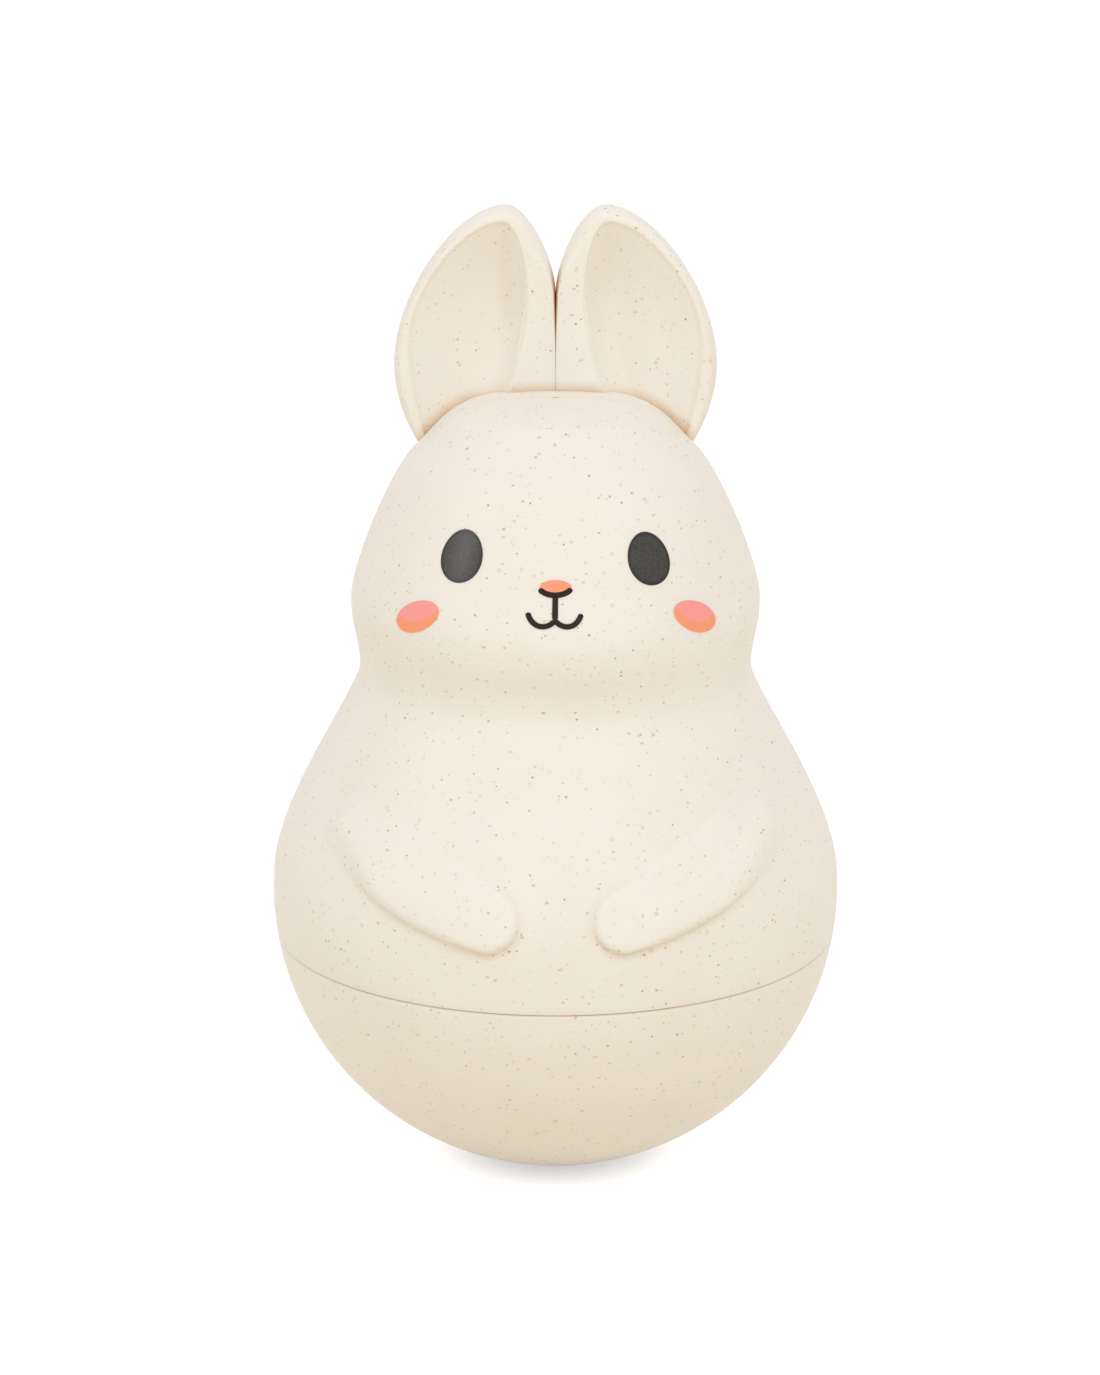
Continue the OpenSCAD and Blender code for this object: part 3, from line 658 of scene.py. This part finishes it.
def film_rings(u, w, turn, height, lift):
    """A film on the body over a grid of flat places about one point: its top at a lift, and its underside.

    u runs round the body towards the toy's left and w up its profile, both in millimetres.
    """
    length = path_at(height)
    around = turn + u/body_radius(length)
    top = on_body(around, length + w, lift)
    under = on_body(around, length + w, -FILM)
    return np.concatenate([top, under[::-1]])


def both_sides(values):
    """Values on the places of a film, for its top and then for its underside."""
    return np.concatenate([values, values[::-1]])


def oval(half_w, half_h, tilt=0.0, egg=0.0):
    """Flat places on rings of a tilted ellipse, whose upper half narrows by the egg share of the way up."""
    share = OVAL_RING_SHARES
    angle = np.linspace(0, 2*np.pi, OVAL_COLUMNS, endpoint=False)
    a = half_w*share*np.cos(angle)*(1 - egg*share*np.sin(angle))
    b = half_h*share*np.sin(angle)
    u = a*np.cos(tilt) - b*np.sin(tilt)
    w = a*np.sin(tilt) + b*np.cos(tilt)
    return u, w


def crescent(u, w, half_w, half_h, move, tilt=0.0):
    """Way of flat places from the middle of an ellipse moved up, as a share: over 1 is in the crescent."""
    a = u*np.cos(tilt) + (w - move)*np.sin(tilt)
    b = (w - move)*np.cos(tilt) - u*np.sin(tilt)
    return np.hypot(a/half_w, b/half_h)


def printed_spot(u, w, turn, height):
    """A printed film over rings of flat places about one point of the body."""
    points = film_rings(u, w, turn, height, FILM)
    return points, [grid_faces(*points.shape[:2], closed_columns=True)]


def printed_line(corners, thickness, turn, height):
    """A stroke with round ends along a cubic curve of flat places in mm, printed over the other inks."""
    line = bezier(corners, np.linspace(0, 1, STROKE_POINTS))
    way, length = along_line(line)
    half = thickness/2
    from_end = np.minimum(length, length[-1] - length)
    width = half*np.sqrt(1 - np.clip(1 - from_end/half, 0, 1)**2)
    across = np.linspace(-1, 1, STROKE_ROWS)[:, None]
    u = line[:, 0] - way[:, 1]*width*across
    w = line[:, 1] + way[:, 0]*width*across
    points = film_rings(u, w, turn, height, OVERPRINT)
    return points, [grid_faces(*points.shape[:2], closed_rows=True)]


def linear(hex_colour):
    """A hex sRGB colour as the linear RGBA that shaders take."""
    value = np.array([int(hex_colour[k:k + 2], 16) for k in (1, 3, 5)])/255
    value = np.where(value <= 0.04045, value/12.92, ((value + 0.055)/1.055)**2.4)
    return (*value.tolist(), 1.0)


def add_node(tree, kind, inputs=None, **settings):
    """A shader node of that kind with its settings. Each input is a value, or a socket to link from."""
    node = tree.nodes.new(kind)
    for key, value in settings.items():
        setattr(node, key, value)
    for key, value in (inputs or {}).items():
        if isinstance(value, bpy.types.NodeSocket):
            tree.links.new(value, node.inputs[key])
        else:
            node.inputs[key].default_value = value
    return node


def new_material(name, **constants):
    """A material with an empty node tree but for its shader, whose constant sockets are set."""
    material = bpy.data.materials.new(name)
    material.use_nodes = True
    tree = material.node_tree
    tree.nodes.clear()
    shader = add_node(tree, "ShaderNodeBsdfPrincipled", constants)
    add_node(tree, "ShaderNodeOutputMaterial", {"Surface": shader.outputs["BSDF"]})
    return material, tree, shader


def fibre_plastic():
    """Plant-fibre filled plastic, injection moulded: warm cream, satin, with bran-coloured flecks.

    The eye sees brown, tan and grey specks cut at random by the surface, some stretched like bran, faint
    clouding of the cream, and a fine moulded skin. Corners get painted shade: darker, honey-coloured cream.
    """
    material, tree, shader = new_material("fibre_plastic", **{
        "Roughness": 0.46,
        "IOR": 1.46,
        "Specular IOR Level": 0.35,
        "Subsurface Weight": 0.2,
        "Subsurface Radius": (1.0, 0.7, 0.45),
        "Subsurface Scale": 0.002,
    })
    place = add_node(tree, "ShaderNodeTexCoord").outputs["Object"]
    cloud = add_node(tree, "ShaderNodeTexNoise", {"Vector": place, "Scale": 1/(CLOUD_W*MM), "Detail": 3.0})
    cream = add_node(tree, "ShaderNodeMix", {
        MIX_SHARE: cloud.outputs["Fac"],
        MIX_FIRST: linear("#F3EEE6"),
        MIX_SECOND: linear("#F8F5EF"),
    }, data_type="RGBA")
    # Painted shade: in corners the cream is painted darker, towards honey, as light gone from wall to wall
    # looks
    shade_occlusion = add_node(tree, "ShaderNodeAmbientOcclusion", {"Distance": PAINTED_SHADE_REACH*MM}, samples=8)
    corner = add_node(tree, "ShaderNodeMapRange", {
        "Value": shade_occlusion.outputs["AO"],
        "From Min": 1.0,
        "From Max": 0.0,
    })
    cream = add_node(tree, "ShaderNodeMix", {
        MIX_SHARE: corner.outputs["Result"],
        MIX_FIRST: cream.outputs[MIX_COLOUR],
        MIX_SECOND: linear("#DDB681"),
    }, data_type="RGBA")
    colour = cream.outputs[MIX_COLOUR]
    # Each layer of flecks: colour, cell size and largest spot radius in mm, stretch, strength. A layer is
    # moved and turned, so that no two fall in the same places
    flecks = [
        ("#B57F54", 1.7, 0.28, (1.0, 1.0, 1.0), 0.85),
        ("#D8A26A", 1.7, 0.34, (0.8, 1.0, 1.2), 0.66),
        ("#BF946C", 2.3, 0.28, (0.6, 1.0, 1.0), 0.75),
        ("#DCB88F", 1.5, 0.30, (1.0, 0.8, 1.0), 0.50),
        ("#ADA39A", 2.6, 0.50, (1.0, 1.0, 1.0), 0.30),
        ("#7D6A58", 3.0, 0.22, (1.0, 0.7, 1.0), 0.75),
    ]
    for layer, (hex_colour, cell, spot, stretch, strength) in enumerate(flecks):
        turned = add_node(tree, "ShaderNodeMapping", {
            "Vector": place,
            "Location": FLECK_MOVE*layer,
            "Rotation": FLECK_TURN*layer,
            "Scale": stretch,
        })
        cells = add_node(tree, "ShaderNodeTexVoronoi", {
            "Vector": turned.outputs["Vector"],
            "Scale": 1/(cell*MM),
        })
        kept = add_node(tree, "ShaderNodeSeparateColor", {"Color": cells.outputs["Color"]})
        size = add_node(tree, "ShaderNodeMapRange", {
            "Value": kept.outputs["Red"],
            "To Min": SMALLEST_FLECK_SHARE*spot/cell,
            "To Max": spot/cell,
        })
        inside = add_node(tree, "ShaderNodeMath", {
            0: cells.outputs["Distance"],
            1: size.outputs["Result"],
        }, operation="DIVIDE")
        mask = add_node(tree, "ShaderNodeMapRange", {
            "Value": inside.outputs["Value"],
            "From Min": 1.0,
            "From Max": FLECK_CORE_SHARE,
        }, interpolation_type="SMOOTHSTEP")
        fade = add_node(tree, "ShaderNodeMapRange", {
            "Value": kept.outputs["Green"],
            "To Min": FAINTEST_FLECK_SHARE*strength,
            "To Max": strength,
        })
        amount = add_node(tree, "ShaderNodeMath", {
            0: mask.outputs["Result"],
            1: fade.outputs["Result"],
        }, operation="MULTIPLY")
        colour = add_node(tree, "ShaderNodeMix", {
            MIX_SHARE: amount.outputs["Value"],
            MIX_FIRST: colour,
            MIX_SECOND: linear(hex_colour),
        }, data_type="RGBA").outputs[MIX_COLOUR]
    tree.links.new(colour, shader.inputs["Base Color"])
    skin = add_node(tree, "ShaderNodeTexNoise", {"Vector": place, "Scale": 1/(SKIN_GRAIN*MM), "Detail": 2.0})
    bump = add_node(tree, "ShaderNodeBump", {
        "Height": skin.outputs["Fac"],
        "Strength": 0.25,
        "Distance": SKIN_HEIGHT*MM,
    })
    tree.links.new(bump.outputs["Normal"], shader.inputs["Normal"])
    return material


def eye_ink():
    """Charcoal pad-printing ink: a grainy film, darker where it gathers at the rim, with a soft gloss.

    The grain of such a film is finer than a tenth of a millimetre, and is drawn coarser so that it shows.
    """
    material, tree, shader = new_material("eye_ink", **{"Roughness": 0.28, "IOR": 1.5})
    place = add_node(tree, "ShaderNodeTexCoord").outputs["Object"]
    grain = add_node(tree, "ShaderNodeTexNoise", {"Vector": place, "Scale": 1/(0.42*MM), "Detail": 3.0})
    film = add_node(tree, "ShaderNodeMix", {
        MIX_SHARE: grain.outputs["Fac"],
        MIX_FIRST: linear("#030303"),
        MIX_SECOND: linear("#4C4844"),
    }, data_type="RGBA")
    spread = add_node(tree, "ShaderNodeAttribute", attribute_name="spread")
    rim = add_node(tree, "ShaderNodeMapRange", {
        "Value": spread.outputs["Fac"],
        "From Min": 0.82,
        "From Max": 0.93,
    }, interpolation_type="SMOOTHSTEP")
    colour = add_node(tree, "ShaderNodeMix", {
        MIX_SHARE: rim.outputs["Result"],
        MIX_FIRST: film.outputs[MIX_COLOUR],
        MIX_SECOND: linear("#1C1917"),
    }, data_type="RGBA")
    tree.links.new(colour.outputs[MIX_COLOUR], shader.inputs["Base Color"])
    return material


def cheek_ink():
    """Two inks side by side, as printed on cheeks and nose: blush pink over a crescent of apricot, uneven."""
    material, tree, shader = new_material("cheek_ink", **{"Roughness": 0.42, "IOR": 1.5})
    place = add_node(tree, "ShaderNodeTexCoord").outputs["Object"]
    uneven = add_node(tree, "ShaderNodeTexNoise", {"Vector": place, "Scale": 1/(0.6*MM), "Detail": 3.0})
    pink = add_node(tree, "ShaderNodeMix", {
        MIX_SHARE: uneven.outputs["Fac"],
        MIX_FIRST: linear("#FE9995"),
        MIX_SECOND: linear("#FFA7A3"),
    }, data_type="RGBA")
    apricot = add_node(tree, "ShaderNodeMix", {
        MIX_SHARE: uneven.outputs["Fac"],
        MIX_FIRST: linear("#FE986C"),
        MIX_SECOND: linear("#FFA57E"),
    }, data_type="RGBA")
    below = add_node(tree, "ShaderNodeAttribute", attribute_name="crescent")
    edge = add_node(tree, "ShaderNodeMapRange", {
        "Value": below.outputs["Fac"],
        "From Min": 0.97,
        "From Max": 1.03,
    })
    colour = add_node(tree, "ShaderNodeMix", {
        MIX_SHARE: edge.outputs["Result"],
        MIX_FIRST: pink.outputs[MIX_COLOUR],
        MIX_SECOND: apricot.outputs[MIX_COLOUR],
    }, data_type="RGBA")
    tree.links.new(colour.outputs[MIX_COLOUR], shader.inputs["Base Color"])
    return material


def line_ink():
    """Black-brown pad-printing ink of the mouth, matt and a little uneven as a thin film is."""
    material, tree, shader = new_material("line_ink", **{
        "Roughness": 0.5,
        "IOR": 1.5,
        "Specular IOR Level": 0.25,
    })
    place = add_node(tree, "ShaderNodeTexCoord").outputs["Object"]
    uneven = add_node(tree, "ShaderNodeTexNoise", {"Vector": place, "Scale": 1/(0.4*MM), "Detail": 3.0})
    colour = add_node(tree, "ShaderNodeMix", {
        MIX_SHARE: uneven.outputs["Fac"],
        MIX_FIRST: linear("#160D09"),
        MIX_SECOND: linear("#231710"),
    }, data_type="RGBA")
    tree.links.new(colour.outputs[MIX_COLOUR], shader.inputs["Base Color"])
    return material


def metal(name, dark, light, roughness, grain, bump_height, stretch=(1, 1, 1)):
    """A metal with the marks of its making: two tones over a grain of that size and stretch, and a bump.

    The sizes of the grain and the bump are in millimetres.
    """
    material, tree, shader = new_material(name, **{"Metallic": 1.0, "Roughness": roughness})
    place = add_node(tree, "ShaderNodeTexCoord").outputs["Object"]
    turned = add_node(tree, "ShaderNodeMapping", {"Vector": place, "Scale": stretch})
    marks = add_node(tree, "ShaderNodeTexNoise", {
        "Vector": turned.outputs["Vector"],
        "Scale": 1/(grain*MM),
        "Detail": 4.0,
    })
    colour = add_node(tree, "ShaderNodeMix", {
        MIX_SHARE: marks.outputs["Fac"],
        MIX_FIRST: linear(dark),
        MIX_SECOND: linear(light),
    }, data_type="RGBA")
    tree.links.new(colour.outputs[MIX_COLOUR], shader.inputs["Base Color"])
    bump = add_node(tree, "ShaderNodeBump", {
        "Height": marks.outputs["Fac"],
        "Strength": 0.4,
        "Distance": bump_height*MM,
    })
    tree.links.new(bump.outputs["Normal"], shader.inputs["Normal"])
    return material


def plain_plastic():
    """Unfilled plastic, injection moulded: off-white and satin, with a fine spark-eroded skin."""
    material, tree, shader = new_material("plain_plastic", **{"Roughness": 0.45, "IOR": 1.49})
    place = add_node(tree, "ShaderNodeTexCoord").outputs["Object"]
    skin = add_node(tree, "ShaderNodeTexNoise", {"Vector": place, "Scale": 1/(0.3*MM), "Detail": 2.0})
    colour = add_node(tree, "ShaderNodeMix", {
        MIX_SHARE: skin.outputs["Fac"],
        MIX_FIRST: linear("#DCD8CF"),
        MIX_SECOND: linear("#E6E2DA"),
    }, data_type="RGBA")
    tree.links.new(colour.outputs[MIX_COLOUR], shader.inputs["Base Color"])
    bump = add_node(tree, "ShaderNodeBump", {
        "Height": skin.outputs["Fac"],
        "Strength": 0.3,
        "Distance": 0.03*MM,
    })
    tree.links.new(bump.outputs["Normal"], shader.inputs["Normal"])
    return material


def turned_beech():
    """Beech turned on a lathe and waxed: pinkish tan with growth rings and short darker ray flecks."""
    material, tree, shader = new_material("turned_beech", **{"Roughness": 0.5, "IOR": 1.5})
    place = add_node(tree, "ShaderNodeTexCoord").outputs["Object"]
    rings = add_node(tree, "ShaderNodeTexWave", {
        "Vector": place,
        "Scale": 1/(12*MM),
        "Distortion": 3.0,
        "Detail": 3.0,
    }, bands_direction="X")
    tone = add_node(tree, "ShaderNodeMix", {
        MIX_SHARE: rings.outputs["Fac"],
        MIX_FIRST: linear("#C79A6C"),
        MIX_SECOND: linear("#DDB78C"),
    }, data_type="RGBA")
    stretched = add_node(tree, "ShaderNodeMapping", {"Vector": place, "Scale": (1.0, 1.0, 0.2)})
    rays = add_node(tree, "ShaderNodeTexVoronoi", {
        "Vector": stretched.outputs["Vector"],
        "Scale": 1/(1.2*MM),
    })
    fleck = add_node(tree, "ShaderNodeMapRange", {
        "Value": rays.outputs["Distance"],
        "From Min": 0.35,
        "From Max": 0.15,
        "To Max": 0.5,
    })
    colour = add_node(tree, "ShaderNodeMix", {
        MIX_SHARE: fleck.outputs["Result"],
        MIX_FIRST: tone.outputs[MIX_COLOUR],
        MIX_SECOND: linear("#9E7247"),
    }, data_type="RGBA")
    tree.links.new(colour.outputs[MIX_COLOUR], shader.inputs["Base Color"])
    return material


def seen_white(tree):
    """1 for the rays that see the surroundings white: from the camera, from gloss and through glass."""
    ray = add_node(tree, "ShaderNodeLightPath")
    seen = add_node(tree, "ShaderNodeMath", {
        0: ray.outputs["Is Camera Ray"],
        1: ray.outputs["Is Glossy Ray"],
    }, operation="MAXIMUM")
    seen = add_node(tree, "ShaderNodeMath", {
        0: seen.outputs["Value"],
        1: ray.outputs["Is Transmission Ray"],
    }, operation="MAXIMUM")
    return seen.outputs["Value"]


def white_paper():
    """Warm white paper. The camera, mirrors and glass see it white, but for the shadow where the toy stands.

    There it glows by the open share of the sky just over it: least at the contact, and most where nothing
    stands within the shadow's height.
    """
    material = bpy.data.materials.new("white_paper")
    material.use_nodes = True
    tree = material.node_tree
    tree.nodes.clear()
    matt = add_node(tree, "ShaderNodeBsdfDiffuse", {"Color": linear("#F5EBDA")})
    open_sky = add_node(tree, "ShaderNodeAmbientOcclusion", {"Distance": SHADOW_HEIGHT*MM}, samples=24)
    soft = add_node(tree, "ShaderNodeMath", {0: open_sky.outputs["AO"], 1: SHADOW_POWER}, operation="POWER")
    level = add_node(tree, "ShaderNodeMapRange", {
        "Value": soft.outputs["Value"],
        "To Min": CONTACT_GLOW,
        "To Max": OPEN_GLOW,
    })
    glow = add_node(tree, "ShaderNodeEmission", {"Strength": level.outputs["Result"]})
    both = add_node(tree, "ShaderNodeMixShader", {
        "Fac": GLOW_SHARE,
        1: matt.outputs["BSDF"],
        2: glow.outputs["Emission"],
    })
    shown = add_node(tree, "ShaderNodeMixShader", {
        "Fac": seen_white(tree),
        1: matt.outputs["BSDF"],
        2: both.outputs["Shader"],
    })
    add_node(tree, "ShaderNodeOutputMaterial", {"Surface": shown.outputs["Shader"]})
    return material


def add_floor():
    """One large flat sheet under the toy."""
    half = FLOOR_HALF
    corners = [(-half, -half, 0), (half, -half, 0), (half, half, 0), (-half, half, 0)]
    mesh = bpy.data.meshes.new("floor")
    mesh.from_pydata(corners, [], [(0, 1, 2, 3)])
    mesh.materials.append(white_paper())
    floor = bpy.data.objects.new("floor", mesh)
    bpy.context.scene.collection.objects.link(floor)


def add_world():
    """Even white surroundings that light the toy at their level and look white themselves."""
    world = bpy.data.worlds.new("studio")
    world.use_nodes = True
    tree = world.node_tree
    tree.nodes.clear()
    light = add_node(tree, "ShaderNodeBackground", {"Color": linear("#FFFCF7"), "Strength": WORLD_LEVEL})
    white = add_node(tree, "ShaderNodeBackground", {"Color": (1.0, 1.0, 1.0, 1.0), "Strength": 1.0})
    shown = add_node(tree, "ShaderNodeMixShader", {
        "Fac": seen_white(tree),
        1: light.outputs["Background"],
        2: white.outputs["Background"],
    })
    add_node(tree, "ShaderNodeOutputWorld", {"Surface": shown.outputs["Shader"]})
    bpy.context.scene.world = world


def add_softbox(name, place, size, watts):
    """A square softbox at a place, turned to face the toy."""
    lamp = bpy.data.lights.new(name, "AREA")
    lamp.shape = "SQUARE"
    lamp.size = size
    lamp.energy = watts
    box = bpy.data.objects.new(name, lamp)
    box.location = place
    box.rotation_euler = (Vector(TOY_MIDDLE) - Vector(place)).to_track_quat("-Z", "Y").to_euler()
    bpy.context.scene.collection.objects.link(box)


def add_camera():
    """The photograph's view: from the front, a little above, through a long lens."""
    lens = bpy.data.cameras.new("camera")
    lens.lens = CAMERA_LENS
    lens.sensor_width = CAMERA_SENSOR
    lens.clip_start = CAMERA_NEAR
    camera = bpy.data.objects.new("camera", lens)
    camera.location = CAMERA_PLACE
    camera.rotation_euler = (Vector(CAMERA_AIM) - Vector(CAMERA_PLACE)).to_track_quat("-Z", "Y").to_euler()
    bpy.context.scene.collection.objects.link(camera)
    bpy.context.scene.camera = camera


# Moulded pieces
fibre = fibre_plastic()
post_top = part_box("ballast_weight")[1].z/MM - POST_GAP
post_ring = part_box("ballast_plate")[1].x/MM - POST_EDGE
post_turns = np.pi/2 + 2*np.pi*np.arange(POST_COUNT)/POST_COUNT
bowl_parts = [revolved(bowl_section())] + [screw_post(turn, post_ring, post_top) for turn in post_turns]
make_piece("bowl_skin", bowl_parts, fibre, "base_bowl")
make_piece("front_skin", [half_shell(0, True)], fibre, "front_shell")
make_piece("back_skin", [half_shell(np.pi, False)], fibre, "back_shell")
make_piece("left_ear_skin", [ear(1)], fibre, "left_ear")
make_piece("right_ear_skin", [ear(-1)], fibre, "right_ear")

# Printed face
eye_film = eye_ink()
cheek_film = cheek_ink()
line_film = line_ink()
sides = (("left", 1), ("right", -1))
for (name, side), turn, height, tilt in zip(sides, EYE_TURNS, EYE_HEIGHTS, EYE_TILTS):
    u, w = oval(EYE_HALF_W, EYE_HALF_H, side*tilt, EYE_EGG_SHARE)
    spot = printed_spot(u, w, side*turn, height)
    spread = np.broadcast_to(OVAL_RING_SHARES, u.shape)
    make_piece(name + "_eye_print", [spot], eye_film, marks={"spread": both_sides(spread)})
for (name, side), turn in zip(sides, CHEEK_TURNS):
    tilt = -side*CHEEK_TILT
    u, w = oval(CHEEK_HALF_W, CHEEK_HALF_H, tilt)
    spot = printed_spot(u, w, side*turn, CHEEK_PRINT_Z)
    below = crescent(u, w, CHEEK_HALF_W, CHEEK_HALF_H, CHEEK_MOVE, tilt)
    make_piece(name + "_cheek_print", [spot], cheek_film, marks={"crescent": both_sides(below)})
u, w = oval(NOSE_HALF_W, NOSE_HALF_H)
below = crescent(u, w, NOSE_HALF_W, NOSE_HALF_H, NOSE_MOVE)
make_piece("nose_print", [printed_spot(u, w, 0, NOSE_Z)], cheek_film, marks={"crescent": both_sides(below)})
mouth = [printed_line(corners, thickness, 0, NOSE_Z) for corners, thickness in MOUTH_STROKES]
make_piece("mouth_print", mouth, line_film)

# Works inside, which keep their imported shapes. Cast iron is dark and sandy, drawn steel and aluminium have
# fine lines along them, and turned brass has them round its axis
beech = turned_beech()
drawn_marks = {"grain": 0.25, "bump_height": 0.01, "stretch": (1, 1, 0.1)}
turned_marks = {"grain": 0.2, "bump_height": 0.01, "stretch": (1, 0.1, 0.1)}
iron = metal("cast_iron", "#3E3C3A", "#5A5755", roughness=0.62, grain=0.6, bump_height=0.15)
steel = metal("drawn_steel", "#A9ABAD", "#C3C5C7", roughness=0.3, **drawn_marks)
aluminium = metal("drawn_aluminium", "#C4C6C8", "#DDDFE0", roughness=0.28, **drawn_marks)
brass = metal("turned_brass", "#B08D4A", "#CBA862", roughness=0.3, **turned_marks)
plastic = plain_plastic()
finishes = {
    "ballast_weight": iron,
    "ballast_plate": plastic,
    "ballast_screws": steel,
    "chime_block": plastic,
    "chime_screw": steel,
    "chime_rod_1": aluminium,
    "chime_rod_2": aluminium,
    "chime_rod_3": aluminium,
    "chime_rod_4": aluminium,
    "striker_bridge": steel,
    "link_collars": brass,
    "swing_link": plastic,
    "striker_pin": steel,
    "striker_stem": plastic,
    "striker_bob": beech,
}
for name, finish in finishes.items():
    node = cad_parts[name]
    node.data.materials.clear()
    node.data.materials.append(finish)

# Studio
add_floor()
add_world()
for name, place, size, watts in SOFTBOXES:
    add_softbox(name, place, size, watts)
add_camera()
bpy.context.scene.view_settings.view_transform = "Standard"
